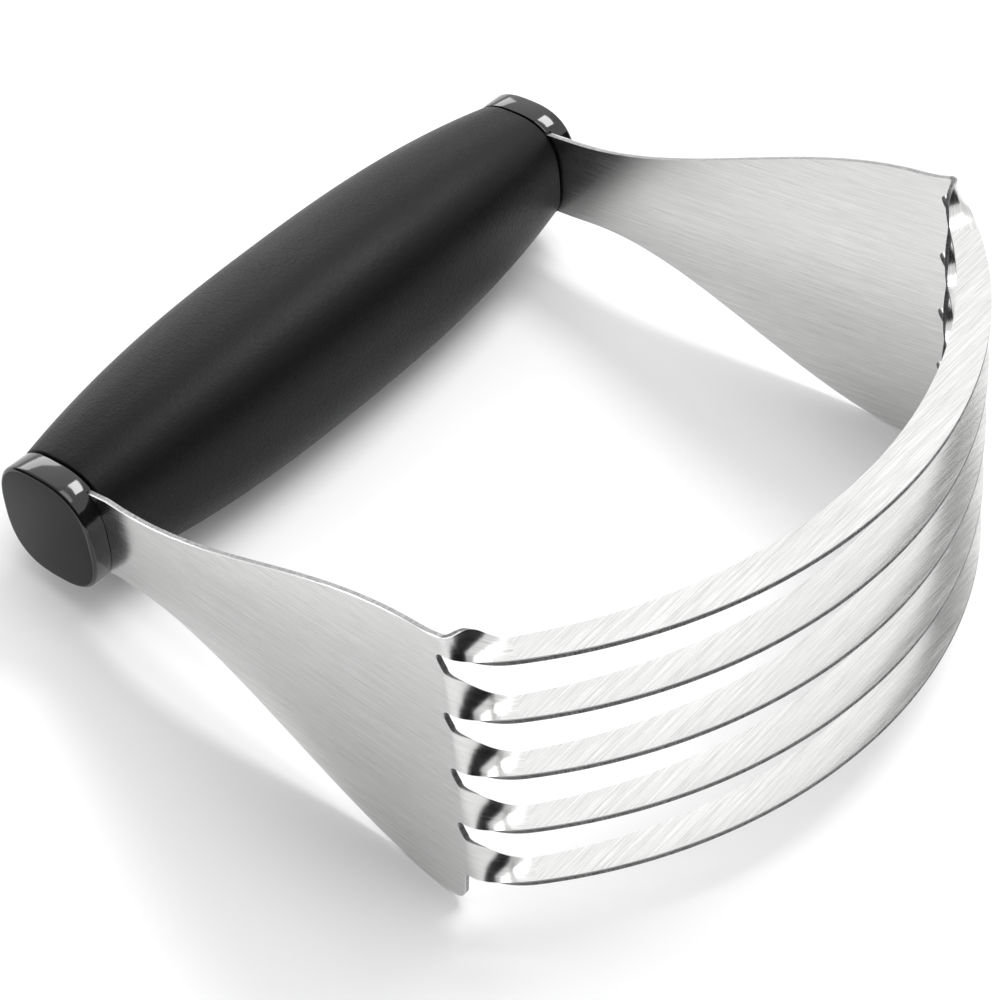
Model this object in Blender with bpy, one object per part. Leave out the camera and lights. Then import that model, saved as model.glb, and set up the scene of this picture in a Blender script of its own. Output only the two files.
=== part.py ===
"""Pastry blender: one pressed steel blade sheet, a plastic grip on a core, two screws and two end caps.

Design frame before the parent turns it: X from the handle's axis to the blades, Y along the handle,
Z up the stack of blades. The parent empty leans it so that it rests on its two tails and the grip.
"""

import math

import bmesh
import bpy
from mathutils import Matrix, Vector

MM = 0.001

# Blade sheet
SHEET = 0.8
BLADES = 5
PITCH = 9.8
ARC_CENTRE_X = 32.85
OUTER_RADIUS = 68.3
OUTER_GROWTH = 0.5
INNER_RADIUS = 62.8
INNER_GROWTH = 2.1
GROWTH_ANGLE = math.radians(45.0)
ARC_END = math.radians(46.0)
ARC_STEPS = 44
TWIST_STEPS = 16
TWIST_CROWDING = 1.5
TWIST_NARROWING = 2.5
TOP_TWIST_SWELL = 0.6
TOP_SWELL_SHIFT = 0.75
TWIST_WAIST = 0.7
ACROSS = 2

# Arms
BEND_X = 9.6
TAB_OUTER_Y = 49.0
SPLAY = 0.0789
TAB_RADIUS = 6.8
UPPER_EDGE_START = 7.5
UPPER_EDGE_END = 22.4
UPPER_FLARE_FROM = 11.0
UPPER_FLARE_TO = 71.0
LOWER_EDGE_START = 6.4
LOWER_FLARE_FROM = 14.0
LOWER_FLARE_TO = 70.4
ROOT_X = 73.4
LIP_LENGTH = 4.5
LIP_TOP = 23.1
SLOT_REACH = 0.95
SLOT_TOP = 0.65
SLOT_ROUND = 0.8
SLOT_HEIGHT = 2.75
SLOT_SWEEP_X = 0.9
SLOT_SWEEP_DROP = 0.65
TAIL_X = 73.0
TAIL_BOTTOM = 24.9
TAIL_CORNER = 2.2
NOTCH_RADIUS = 0.8
OUTLINE_STEPS = 26
ROUND_STEPS = 8
LEAN_STEPS = 200

# Handle
GRIP_HALF_LENGTH = 47.9
GRIP_END_HALF_X = 8.5
GRIP_END_HALF_Z = 9.3
GRIP_MIDDLE_HALF_X = 12.3
GRIP_MIDDLE_HALF_Z = 13.1
GRIP_BARREL_POWER = 2.5
SQUIRCLE_POWER = 2.7
GRIP_RINGS = 22
GRIP_SIDES = 40
BORE_RADIUS = 5.3
CORE_RADIUS = 5.0
CORE_HALF_LENGTH = 47.9
CORE_BORE_RADIUS = 2.3
CORE_BORE_DEPTH = 17.0
ROUND_SIDES = 32

# End caps
CAP_RIM_Y = 48.2
CAP_FACE_Y = 52.2
CAP_END_HALF_X = 8.6
CAP_END_HALF_Z = 9.3
CAP_EDGE_ROUND = 0.6
CAP_EDGE_STEPS = 3
CAP_WALL = 0.6
CAP_FLOOR_Y = 51.4
CAP_OPENING_HALF_HEIGHT = 7.7
CAP_OPENING_OVERSHOOT = 1.0

# Screws
SCREW_RADIUS = 2.0
SCREW_HOLE_RADIUS = 2.3
SCREW_LENGTH = 15.0
HEAD_RADIUS = 4.0
HEAD_HEIGHT = 2.0
SEAT_GAP = 0.1
HEAD_SHOULDER = 0.8
HEAD_DOME = 1.0
HEAD_CROWN = 0.25
TIP_INSET = 0.6
TIP_LENGTH = 0.8
RECESS_HALF_LENGTH = 1.7
RECESS_HALF_WIDTH = 0.45
RECESS_DEPTH = 1.2
RECESS_OVERSHOOT = 1.0
CUTTER_GAP = 0.3
SMOOTH_ANGLE = math.radians(35.0)


def smoothstep(value):
    value = min(1.0, max(0.0, value))
    return value * value * (3.0 - 2.0 * value)


def blend(start, end, share):
    return start + (end - start) * share


def clear_scene():
    for old in list(bpy.data.objects):
        bpy.data.objects.remove(old, do_unlink=True)


def material(name, colour, roughness, metallic):
    made = bpy.data.materials.new(name)
    made.use_nodes = True
    shader = made.node_tree.nodes["Principled BSDF"]
    shader.inputs["Base Color"].default_value = (*colour, 1.0)
    shader.inputs["Roughness"].default_value = roughness
    shader.inputs["Metallic"].default_value = metallic
    return made


def add_object(name, mesh_data, made_material, parent, smooth=True):
    mesh = bpy.data.meshes.new(name)
    mesh_data.to_mesh(mesh)
    mesh_data.free()
    mesh.transform(Matrix.Scale(MM, 4))
    made = bpy.data.objects.new(name, mesh)
    bpy.context.scene.collection.objects.link(made)
    made.data.materials.append(made_material)
    made.parent = parent
    if smooth:
        mesh.shade_smooth()
        mesh.set_sharp_from_angle(angle=SMOOTH_ANGLE)
    return made


def cutter(name, mesh_data, parent):
    mesh = bpy.data.meshes.new(name)
    mesh_data.to_mesh(mesh)
    mesh_data.free()
    mesh.transform(Matrix.Scale(MM, 4))
    made = bpy.data.objects.new(name, mesh)
    bpy.context.scene.collection.objects.link(made)
    made.parent = parent
    made.hide_render = True
    made.display_type = "WIRE"
    return made


def cut(target, tool):
    modifier = target.modifiers.new("cut_" + tool.name, "BOOLEAN")
    modifier.operation = "DIFFERENCE"
    modifier.solver = "EXACT"
    modifier.object = tool


def box(low, high):
    made = bmesh.new()
    corners = bmesh.ops.create_cube(made, size=1.0)["verts"]
    for corner in corners:
        for axis in range(3):
            corner.co[axis] = high[axis] if corner.co[axis] > 0 else low[axis]
    return made


def flare(x, start, end, low, high):
    """Half height of an arm whose edge runs from low to high in one smooth sweep."""
    return blend(low, high, smoothstep((x - start) / (end - start)))


def upper_edge(x):
    """Height of an arm's upper edge, with the small lip where the top blade leaves it."""
    lip = max(0.0, 1.0 - (ROOT_X - x) / LIP_LENGTH) ** 2
    height = flare(x, UPPER_FLARE_FROM, UPPER_FLARE_TO, UPPER_EDGE_START, UPPER_EDGE_END)
    return blend(height, LIP_TOP, lip)


def lower_edge(x):
    return -flare(x, LOWER_FLARE_FROM, LOWER_FLARE_TO, LOWER_EDGE_START, TAIL_BOTTOM)


def arm_outer_y(x):
    return TAB_OUTER_Y + SPLAY * max(0.0, x - BEND_X)


def blade_level(index):
    return ((BLADES - 1) / 2 - index) * PITCH


def outer_radius(angle):
    return OUTER_RADIUS + OUTER_GROWTH * (angle / GROWTH_ANGLE) ** 2


def inner_radius(angle):
    return INNER_RADIUS + INNER_GROWTH * (angle / GROWTH_ANGLE) ** 2


def root_span(index):
    """Heights of the lower and upper side of a strip where it leaves the arm."""
    lower = blade_level(index) + SLOT_TOP
    if index == 0:
        return lower, LIP_TOP
    return lower, blade_level(index - 1) + SLOT_TOP - SLOT_HEIGHT


def twist_path(share):
    """Plan point and heading of the lower edge, on a curve that leaves the arm and meets the arc."""
    start = Vector((ROOT_X, -(arm_outer_y(ROOT_X) - SHEET / 2)))
    radius = outer_radius(ARC_END)
    end = Vector((ARC_CENTRE_X + radius * math.cos(ARC_END), -radius * math.sin(ARC_END)))
    end_slope = math.cos(ARC_END) / math.sin(ARC_END)
    corner_x = (start.y + SPLAY * start.x - end.y + end_slope * end.x) / (SPLAY + end_slope)
    corner = Vector((corner_x, start.y - SPLAY * (corner_x - start.x)))
    plan = start * (1 - share) ** 2 + corner * 2 * share * (1 - share) + end * share ** 2
    heading = (corner - start) * (1 - share) + (end - corner) * share
    return plan, heading.normalized()


def twist_section(index, share):
    """Lower and upper edge of a strip in its twist: 0 at the arm, 1 where the blade lies level."""
    plan, heading = twist_path(share)
    low, high = root_span(index)
    turn = math.radians(90.0) * smoothstep(share)
    end_width = outer_radius(ARC_END) - inner_radius(ARC_END)
    if index == 0:
        width = blend(high - low, end_width, share)
        width += TOP_TWIST_SWELL * math.sin(math.pi * share ** TOP_SWELL_SHIFT) ** 4
    else:
        width = blend(end_width, high - low, (1 - share) ** TWIST_NARROWING)
        width -= TWIST_WAIST * math.sin(math.pi * share) ** 2
    height = blend(low, blade_level(index), smoothstep(share))
    lower = Vector((plan.x, plan.y, height))
    inward = math.sin(turn)
    upward = math.cos(turn)
    upper = lower + Vector((-heading.y * inward, heading.x * inward, upward)) * width
    return lower, upper


def arc_section(index, angle):
    level = blade_level(index)
    outer = Vector((
        ARC_CENTRE_X + outer_radius(angle) * math.cos(angle),
        outer_radius(angle) * math.sin(angle),
        level,
    ))
    inner = Vector((
        ARC_CENTRE_X + inner_radius(angle) * math.cos(angle),
        inner_radius(angle) * math.sin(angle),
        level,
    ))
    return outer, inner


def mirrored(point):
    return Vector((point.x, -point.y, point.z))


def strip_sections(index):
    """Outer and inner edge points of one strip, from the left arm round to the right arm."""
    shares = [(step / TWIST_STEPS) ** TWIST_CROWDING for step in range(TWIST_STEPS + 1)]
    twist = [twist_section(index, share) for share in shares]
    arc = [
        arc_section(index, blend(-ARC_END, ARC_END, step / ARC_STEPS))
        for step in range(1, ARC_STEPS)
    ]
    back = [(mirrored(low), mirrored(high)) for low, high in reversed(twist)]
    return twist + arc + back


def strip_grid(index):
    """Rows of middle-surface points with their normals, across the strip at each section."""
    sections = strip_sections(index)
    grid = [
        [low.lerp(high, row / ACROSS) for row in range(ACROSS + 1)]
        for low, high in sections
    ]
    last = len(grid) - 1
    rows = []
    for column, points in enumerate(grid):
        before = grid[max(0, column - 1)]
        after = grid[min(last, column + 1)]
        entries = []
        for row, point in enumerate(points):
            along = after[row] - before[row]
            across = points[ACROSS] - points[0]
            normal = along.cross(across).normalized()
            if column in (0, last):
                normal = Vector((0.0, math.copysign(1.0, point.y), 0.0))
            entries.append((point, normal))
        rows.append(entries)
    return rows


def arm_outline():
    """Points along the arm's upper edge, as (x, z), from the bend to just before the top strip."""
    points = []
    for step in range(OUTLINE_STEPS):
        x = blend(BEND_X, ROOT_X, step / OUTLINE_STEPS)
        points.append((x, upper_edge(x)))
    return points


def slot_end(index):
    """Points round the closed end of the slot below one strip: a quarter round, then a long sweep down."""
    top = blade_level(index) + SLOT_TOP
    points = []
    for step in range(1, ROUND_STEPS + 1):
        angle = math.radians(90.0) * step / ROUND_STEPS
        points.append((ROOT_X - SLOT_REACH * math.sin(angle), top - SLOT_ROUND * (1 - math.cos(angle))))
    start = Vector(points[-1])
    bend = Vector((ROOT_X - SLOT_SWEEP_X, start.y - SLOT_SWEEP_DROP))
    end = Vector((ROOT_X, top - SLOT_HEIGHT))
    for step in range(1, ROUND_STEPS):
        share = step / ROUND_STEPS
        point = start * (1 - share) ** 2 + bend * 2 * share * (1 - share) + end * share ** 2
        points.append((point.x, point.y))
    return points


def tail_outline():
    """Points from the notch below the last strip round the tail to the arm's lower edge."""
    notch_top = root_span(BLADES - 1)[0]
    points = []
    for step in range(1, ROUND_STEPS + 1):
        angle = math.radians(90.0 + 90.0 * step / ROUND_STEPS)
        points.append((
            ROOT_X + NOTCH_RADIUS * math.cos(angle),
            notch_top - NOTCH_RADIUS + NOTCH_RADIUS * math.sin(angle),
        ))
    edge_x = ROOT_X - NOTCH_RADIUS
    points[-1] = (edge_x, points[-1][1])
    for step in range(ROUND_STEPS + 1):
        angle = math.radians(-90.0 * step / ROUND_STEPS)
        points.append((
            edge_x + (TAIL_X - ROOT_X) - TAIL_CORNER + TAIL_CORNER * math.cos(angle),
            -TAIL_BOTTOM + TAIL_CORNER + TAIL_CORNER * math.sin(angle),
        ))
    return points


def lower_outline():
    """Points along the arm's lower edge from the tail back to the bend."""
    points = []
    start = ROOT_X - NOTCH_RADIUS - TAIL_CORNER
    for step in range(1, OUTLINE_STEPS + 1):
        x = blend(start, BEND_X, step / OUTLINE_STEPS)
        points.append((x, lower_edge(x)))
    return points


def tab_outline():
    """Points round the hidden end of the arm, from its lower side to its upper side."""
    points = []
    for step in range(2 * ROUND_STEPS + 1):
        angle = math.radians(-90.0 - 180.0 * step / (2 * ROUND_STEPS))
        points.append((TAB_RADIUS * math.cos(angle), TAB_RADIUS * math.sin(angle)))
    return points


class SheetBuilder:
    """Gathers the faces of the sheet's two sides and the wall between them."""

    def __init__(self):
        self.mesh = bmesh.new()

    def pair(self, outer, inner):
        return self.mesh.verts.new(outer), self.mesh.verts.new(inner)

    def faces(self, pairs):
        """One flat or bent face on each side of the sheet."""
        self.mesh.faces.new([one[0] for one in pairs])
        self.mesh.faces.new([one[1] for one in reversed(pairs)])

    def wall(self, first, second):
        self.mesh.faces.new([first[0], first[1], second[1], second[0]])


def arm_pair(builder, side, x, z):
    """Outer and inner point of an arm; side is -1 for the left arm and 1 for the right."""
    outer_y = arm_outer_y(x)
    inner_y = outer_y - SHEET
    return builder.pair(Vector((x, side * outer_y, z)), Vector((x, side * inner_y, z)))


def build_strip(builder, index):
    """Adds one blade with its two twists and returns its first and last row of point pairs."""
    columns = []
    for entries in strip_grid(index):
        column = []
        for point, normal in entries:
            column.append(builder.pair(point + normal * SHEET / 2, point - normal * SHEET / 2))
        columns.append(column)
    for before, after in zip(columns, columns[1:]):
        for row in range(ACROSS):
            builder.faces([before[row], after[row], after[row + 1], before[row + 1]])
        builder.wall(after[0], before[0])
        builder.wall(before[ACROSS], after[ACROSS])
    return columns[0], columns[-1]


def build_arm(builder, side, roots):
    """Adds one arm; roots holds the strips' end rows, from the top strip down."""
    def pair(point):
        return arm_pair(builder, side, *point)

    top = [pair(point) for point in arm_outline()]
    slots = [[pair(point) for point in slot_end(index)] for index in range(BLADES - 1)]
    tail = [pair(point) for point in tail_outline()]
    low = [pair(point) for point in lower_outline()]
    tab = [pair(point) for point in tab_outline()]
    ring = list(top)
    walls = list(zip(top, top[1:] + [roots[0][ACROSS]]))
    for index, root in enumerate(roots):
        ring += list(reversed(root))
        chain = [root[0]] + (slots[index] if index < BLADES - 1 else tail)
        if index < BLADES - 1:
            ring += slots[index]
            chain.append(roots[index + 1][ACROSS])
        walls += list(zip(chain, chain[1:]))
    ring += tail + low
    chain = [tail[-1]] + low + tab + [top[0]]
    walls += list(zip(chain, chain[1:]))
    tab_ring = [low[-1]] + tab + [top[0]]
    if side > 0:
        ring.reverse()
        tab_ring.reverse()
        walls = [(second, first) for first, second in walls]
    builder.faces(ring)
    builder.faces(tab_ring)
    for first, second in walls:
        builder.wall(second, first)


def build_blade_sheet(steel, parent):
    builder = SheetBuilder()
    left = []
    right = []
    for index in range(BLADES):
        first, last = build_strip(builder, index)
        left.append(first)
        right.append(last)
    build_arm(builder, -1, left)
    build_arm(builder, 1, right)
    bmesh.ops.recalc_face_normals(builder.mesh, faces=builder.mesh.faces)
    bmesh.ops.triangulate(builder.mesh, faces=[face for face in builder.mesh.faces if len(face.verts) > 4])
    sheet = add_object("blade_sheet", builder.mesh, steel, parent)
    hole = bmesh.new()
    bmesh.ops.create_cone(
        hole, cap_ends=True, segments=ROUND_SIDES, radius1=SCREW_HOLE_RADIUS, radius2=SCREW_HOLE_RADIUS,
        depth=4 * CAP_FACE_Y, matrix=Matrix.Rotation(math.radians(90.0), 4, "X"),
    )
    cut(sheet, cutter("screw_hole_tool", hole, parent))
    return sheet


def squircle(half_x, half_z, angle):
    """A point of the rounded-square outline at one angle round it."""
    cosine = math.cos(angle)
    sine = math.sin(angle)
    power = 2.0 / SQUIRCLE_POWER
    x = half_x * math.copysign(abs(cosine) ** power, cosine)
    z = half_z * math.copysign(abs(sine) ** power, sine)
    return x, z


def squircle_ring(mesh, half_x, half_z, y):
    ring = []
    for step in range(GRIP_SIDES):
        x, z = squircle(half_x, half_z, math.tau * step / GRIP_SIDES)
        ring.append(mesh.verts.new((x, y, z)))
    return ring


def circle_ring(mesh, radius, y):
    ring = []
    for step in range(GRIP_SIDES):
        angle = math.tau * step / GRIP_SIDES
        ring.append(mesh.verts.new((radius * math.cos(angle), y, radius * math.sin(angle))))
    return ring


def join_rings(mesh, first, second):
    count = len(first)
    for step in range(count):
        following = (step + 1) % count
        mesh.faces.new([first[step], first[following], second[following], second[step]])


def grip_half_sizes(y):
    share = 1.0 - (abs(y) / GRIP_HALF_LENGTH) ** GRIP_BARREL_POWER
    half_x = blend(GRIP_END_HALF_X, GRIP_MIDDLE_HALF_X, share)
    half_z = blend(GRIP_END_HALF_Z, GRIP_MIDDLE_HALF_Z, share)
    return half_x, half_z


def build_grip(plastic, parent):
    mesh = bmesh.new()
    rings = []
    for step in range(GRIP_RINGS + 1):
        y = blend(-GRIP_HALF_LENGTH, GRIP_HALF_LENGTH, step / GRIP_RINGS)
        rings.append(squircle_ring(mesh, *grip_half_sizes(y), y))
    bore_end = circle_ring(mesh, BORE_RADIUS, GRIP_HALF_LENGTH)
    bore_start = circle_ring(mesh, BORE_RADIUS, -GRIP_HALF_LENGTH)
    loop = rings + [bore_end, bore_start, rings[0]]
    for first, second in zip(loop, loop[1:]):
        join_rings(mesh, first, second)
    bmesh.ops.recalc_face_normals(mesh, faces=mesh.faces)
    return add_object("handle_grip", mesh, plastic, parent)


def lathe(profile, sides):
    """Turns (radius, y) points round the Y axis; a radius of zero at an end closes the shape."""
    mesh = bmesh.new()
    rings = []
    for radius, y in profile:
        if radius == 0.0:
            rings.append([mesh.verts.new((0.0, y, 0.0))])
            continue
        ring = []
        for step in range(sides):
            angle = math.tau * step / sides
            ring.append(mesh.verts.new((radius * math.cos(angle), y, radius * math.sin(angle))))
        rings.append(ring)
    for first, second in zip(rings, rings[1:]):
        for step in range(sides):
            following = (step + 1) % sides
            if len(first) == 1:
                mesh.faces.new([first[0], second[following], second[step]])
            elif len(second) == 1:
                mesh.faces.new([first[step], first[following], second[0]])
            else:
                mesh.faces.new([first[step], first[following], second[following], second[step]])
    bmesh.ops.recalc_face_normals(mesh, faces=mesh.faces)
    return mesh


def build_core(plastic, parent):
    bore_bottom = CORE_HALF_LENGTH - CORE_BORE_DEPTH
    profile = [
        (0.0, bore_bottom),
        (CORE_BORE_RADIUS, bore_bottom),
        (CORE_BORE_RADIUS, CORE_HALF_LENGTH),
        (CORE_RADIUS, CORE_HALF_LENGTH),
        (CORE_RADIUS, -CORE_HALF_LENGTH),
        (CORE_BORE_RADIUS, -CORE_HALF_LENGTH),
        (CORE_BORE_RADIUS, -bore_bottom),
        (0.0, -bore_bottom),
    ]
    return add_object("handle_core", lathe(profile, ROUND_SIDES), plastic, parent)


def build_cap(name, side, plastic, parent):
    mesh = bmesh.new()
    shoulder = CAP_FACE_Y - CAP_EDGE_ROUND
    outer = [squircle_ring(mesh, GRIP_END_HALF_X, GRIP_END_HALF_Z, CAP_RIM_Y)]
    outer.append(squircle_ring(mesh, CAP_END_HALF_X, CAP_END_HALF_Z, shoulder))
    for step in range(1, CAP_EDGE_STEPS + 1):
        angle = math.radians(90.0) * step / CAP_EDGE_STEPS
        inset = CAP_EDGE_ROUND * (1.0 - math.cos(angle))
        y = shoulder + CAP_EDGE_ROUND * math.sin(angle)
        outer.append(squircle_ring(mesh, CAP_END_HALF_X - inset, CAP_END_HALF_Z - inset, y))
    hollow_x = GRIP_END_HALF_X - CAP_WALL
    hollow_z = GRIP_END_HALF_Z - CAP_WALL
    hollow = [
        squircle_ring(mesh, hollow_x, hollow_z, CAP_FLOOR_Y),
        squircle_ring(mesh, hollow_x, hollow_z, CAP_RIM_Y),
    ]
    for first, second in zip(outer, outer[1:]):
        join_rings(mesh, first, second)
    join_rings(mesh, hollow[0], hollow[1])
    join_rings(mesh, hollow[1], outer[0])
    mesh.faces.new(outer[-1])
    mesh.faces.new(hollow[0])
    bmesh.ops.recalc_face_normals(mesh, faces=mesh.faces)
    for vertex in mesh.verts:
        vertex.co.y *= side
    if side < 0:
        bmesh.ops.reverse_faces(mesh, faces=mesh.faces)
    cap = add_object(name, mesh, plastic, parent)
    inside = TAB_OUTER_Y + CUTTER_GAP
    ends = sorted((side * (CAP_RIM_Y - CAP_OPENING_OVERSHOOT), side * inside))
    opening = box((0.0, ends[0], -CAP_OPENING_HALF_HEIGHT), (2 * BEND_X, ends[1], CAP_OPENING_HALF_HEIGHT))
    cut(cap, cutter(name + "_opening_tool", opening, parent))
    return cap


def build_screw(name, side, steel, parent):
    seat = TAB_OUTER_Y + SEAT_GAP
    top = seat + HEAD_HEIGHT
    profile = [
        (0.0, seat - SCREW_LENGTH),
        (SCREW_RADIUS - TIP_INSET, seat - SCREW_LENGTH),
        (SCREW_RADIUS, seat - SCREW_LENGTH + TIP_LENGTH),
        (SCREW_RADIUS, seat),
        (HEAD_RADIUS, seat),
        (HEAD_RADIUS, top - HEAD_DOME),
        (HEAD_RADIUS - HEAD_SHOULDER, top - HEAD_CROWN),
        (HEAD_RADIUS / 2, top),
        (0.0, top),
    ]
    mesh = lathe(profile, ROUND_SIDES)
    for vertex in mesh.verts:
        vertex.co.y *= side
    if side < 0:
        bmesh.ops.reverse_faces(mesh, faces=mesh.faces)
    screw = add_object(name, mesh, steel, parent)
    ends = sorted((side * (top - RECESS_DEPTH), side * (top + RECESS_OVERSHOOT)))
    long_x = box(
        (-RECESS_HALF_LENGTH, ends[0], -RECESS_HALF_WIDTH), (RECESS_HALF_LENGTH, ends[1], RECESS_HALF_WIDTH)
    )
    long_z = box(
        (-RECESS_HALF_WIDTH, ends[0], -RECESS_HALF_LENGTH), (RECESS_HALF_WIDTH, ends[1], RECESS_HALF_LENGTH)
    )
    cut(screw, cutter(name + "_recess_x_tool", long_x, parent))
    cut(screw, cutter(name + "_recess_z_tool", long_z, parent))
    return screw


def resting_lean():
    """Turn about Y that puts the arms' lower edges and the fattest part of the grip on one floor."""
    leans = []
    for step in range(LEAN_STEPS + 1):
        x = blend(BEND_X, ROOT_X - NOTCH_RADIUS - TAIL_CORNER, step / LEAN_STEPS)
        depth = -lower_edge(x)
        if depth > GRIP_MIDDLE_HALF_Z:
            leans.append(math.atan2(depth, x) - math.asin(GRIP_MIDDLE_HALF_Z / math.hypot(x, depth)))
    return max(leans)


def settle(parent, nodes):
    """Moves the parent so that the object's box stands on the floor, centred on the origin."""
    bpy.context.view_layer.update()
    graph = bpy.context.evaluated_depsgraph_get()
    low = Vector((1.0, 1.0, 1.0))
    high = -low
    for node in nodes:
        evaluated = node.evaluated_get(graph)
        mesh = evaluated.to_mesh()
        for vertex in mesh.vertices:
            point = evaluated.matrix_world @ vertex.co
            low = Vector(map(min, low, point))
            high = Vector(map(max, high, point))
        evaluated.to_mesh_clear()
    parent.location = (-(low.x + high.x) / 2, -(low.y + high.y) / 2, -low.z)


def main():
    clear_scene()
    parent = bpy.data.objects.new("pastry_blender", None)
    bpy.context.scene.collection.objects.link(parent)
    parent.rotation_euler = (0.0, -resting_lean(), 0.0)
    steel = material("brushed_stainless", (0.72, 0.72, 0.71), 0.3, 1.0)
    grip_plastic = material("matte_black_plastic", (0.018, 0.018, 0.019), 0.55, 0.0)
    core_plastic = material("grey_core_plastic", (0.12, 0.12, 0.12), 0.5, 0.0)
    cap_plastic = material("gloss_black_plastic", (0.012, 0.012, 0.013), 0.12, 0.0)
    screw_steel = material("zinc_screw_steel", (0.6, 0.6, 0.58), 0.35, 1.0)
    nodes = [
        build_blade_sheet(steel, parent),
        build_grip(grip_plastic, parent),
        build_core(core_plastic, parent),
        build_cap("end_cap_left", -1, cap_plastic, parent),
        build_cap("end_cap_right", 1, cap_plastic, parent),
        build_screw("arm_screw_left", -1, screw_steel, parent),
        build_screw("arm_screw_right", 1, screw_steel, parent),
    ]
    settle(parent, nodes)


main()
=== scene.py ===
"""Looks of a pastry blender: brushed sheet steel, a grained black grip and glossy end caps.

The visible skins are rebuilt at a fine resolution in the part's own design frame: X from the handle's
axis to the blades, Y along the handle, Z up the stack of blades, in millimetres. The place of that
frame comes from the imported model, whose handle axis and lean it shares.
"""

import math

import bmesh
import bpy
from mathutils import Matrix, Vector


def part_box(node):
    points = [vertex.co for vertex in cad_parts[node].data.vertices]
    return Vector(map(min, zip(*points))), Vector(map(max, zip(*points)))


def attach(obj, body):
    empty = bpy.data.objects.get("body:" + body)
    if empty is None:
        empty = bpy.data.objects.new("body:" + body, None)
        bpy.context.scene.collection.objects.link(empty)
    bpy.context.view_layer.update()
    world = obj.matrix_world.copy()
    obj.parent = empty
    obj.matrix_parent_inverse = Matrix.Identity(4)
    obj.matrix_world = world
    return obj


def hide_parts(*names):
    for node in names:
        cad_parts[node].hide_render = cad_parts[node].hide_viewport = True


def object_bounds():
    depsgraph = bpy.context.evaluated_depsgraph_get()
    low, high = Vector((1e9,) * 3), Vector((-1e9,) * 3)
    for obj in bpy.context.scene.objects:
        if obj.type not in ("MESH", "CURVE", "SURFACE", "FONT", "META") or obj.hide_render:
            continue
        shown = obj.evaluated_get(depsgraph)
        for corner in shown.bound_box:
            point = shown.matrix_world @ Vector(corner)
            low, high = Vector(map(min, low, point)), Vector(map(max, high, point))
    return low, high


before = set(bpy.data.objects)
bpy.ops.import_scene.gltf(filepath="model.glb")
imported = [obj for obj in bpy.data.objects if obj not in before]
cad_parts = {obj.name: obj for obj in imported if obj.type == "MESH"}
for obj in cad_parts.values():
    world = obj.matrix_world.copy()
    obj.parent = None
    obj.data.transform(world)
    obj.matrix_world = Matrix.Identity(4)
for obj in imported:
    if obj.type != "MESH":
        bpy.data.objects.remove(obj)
cad_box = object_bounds()

MM = 0.001
QUARTER_TURN = math.radians(90.0)

# Blade sheet, in millimetres
SHEET = 0.8
BLADES = 5
PITCH = 9.8
ARC_CENTRE_X = 32.85
OUTER_RADIUS = 68.3
OUTER_GROWTH = 0.5
INNER_RADIUS = 62.8
INNER_GROWTH = 2.1
GROWTH_ANGLE = math.radians(45.0)
ARC_END = math.radians(46.0)
TWIST_CROWDING = 1.5
TWIST_NARROWING = 2.5
TOP_TWIST_SWELL = 0.6
TOP_SWELL_SHIFT = 0.75
TWIST_WAIST = 0.7
BEND_X = 9.6
TAB_OUTER_Y = 49.0
SPLAY = 0.0789
TAB_RADIUS = 6.8
UPPER_EDGE_START = 7.5
UPPER_EDGE_END = 22.4
UPPER_FLARE_FROM = 11.0
UPPER_FLARE_TO = 71.0
LOWER_EDGE_START = 6.4
LOWER_FLARE_FROM = 14.0
LOWER_FLARE_TO = 70.4
ROOT_X = 73.4
LIP_LENGTH = 4.5
LIP_TOP = 23.1
SLOT_REACH = 0.95
SLOT_TOP = 0.65
SLOT_ROUND = 0.8
SLOT_HEIGHT = 2.75
SLOT_SWEEP_X = 0.9
SLOT_SWEEP_DROP = 0.65
TAIL_X = 73.0
TAIL_BOTTOM = 24.9
TAIL_CORNER = 2.2
NOTCH_RADIUS = 0.8
SHEET_EDGE_ROUND = 0.07
SHEET_ROUND_SEGMENTS = 2
SHEET_ROUND_DEGREES = 50.0

# Steps of the fine sheet
ARC_STEPS = 132
TWIST_STEPS = 40
ACROSS = 6
OUTLINE_STEPS = 90
ROUND_STEPS = 14
LEAN_STEPS = 200

# Handle, in millimetres
GRIP_HALF_LENGTH = 47.9
GRIP_END_HALF_X = 8.5
GRIP_END_HALF_Z = 9.3
GRIP_MIDDLE_HALF_X = 12.3
GRIP_MIDDLE_HALF_Z = 13.1
GRIP_BARREL_POWER = 2.5
SQUIRCLE_POWER = 2.7
BORE_RADIUS = 5.3
SKIN_SHRINK = 0.997
GRIP_RINGS = 96
ROUND_SIDES = 120
GRIP_END_ROUND = 0.35
GRIP_END_DEGREES = (30.0, 60.0, 90.0)
PARTING_ANGLES = (math.radians(129.0), math.radians(309.0))
PARTING_HALF_WIDTH = 0.006
PARTING_DEPTH = 0.05
CAP_RIM_Y = 48.2
CAP_FACE_Y = 52.2
CAP_END_HALF_X = 8.6
CAP_END_HALF_Z = 9.3
CAP_EDGE_ROUND = 0.6
CAP_EDGE_STEPS = 6
CAP_LIP = 0.2
CAP_WALL = 0.6
CAP_FLOOR_Y = 51.4
CAP_OPENING_HALF_HEIGHT = 7.52
CAP_OPENING_GAP = 0.06
CAP_OPENING_LEAD = 1.0

# Shading: the angle that makes an edge sharp, and how squarely a face of a cap has to look along Y
SHARP_DEGREES = 35.0
CAP_SHARP_DEGREES = 30.0
FLAT_FACE = 0.95

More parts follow.
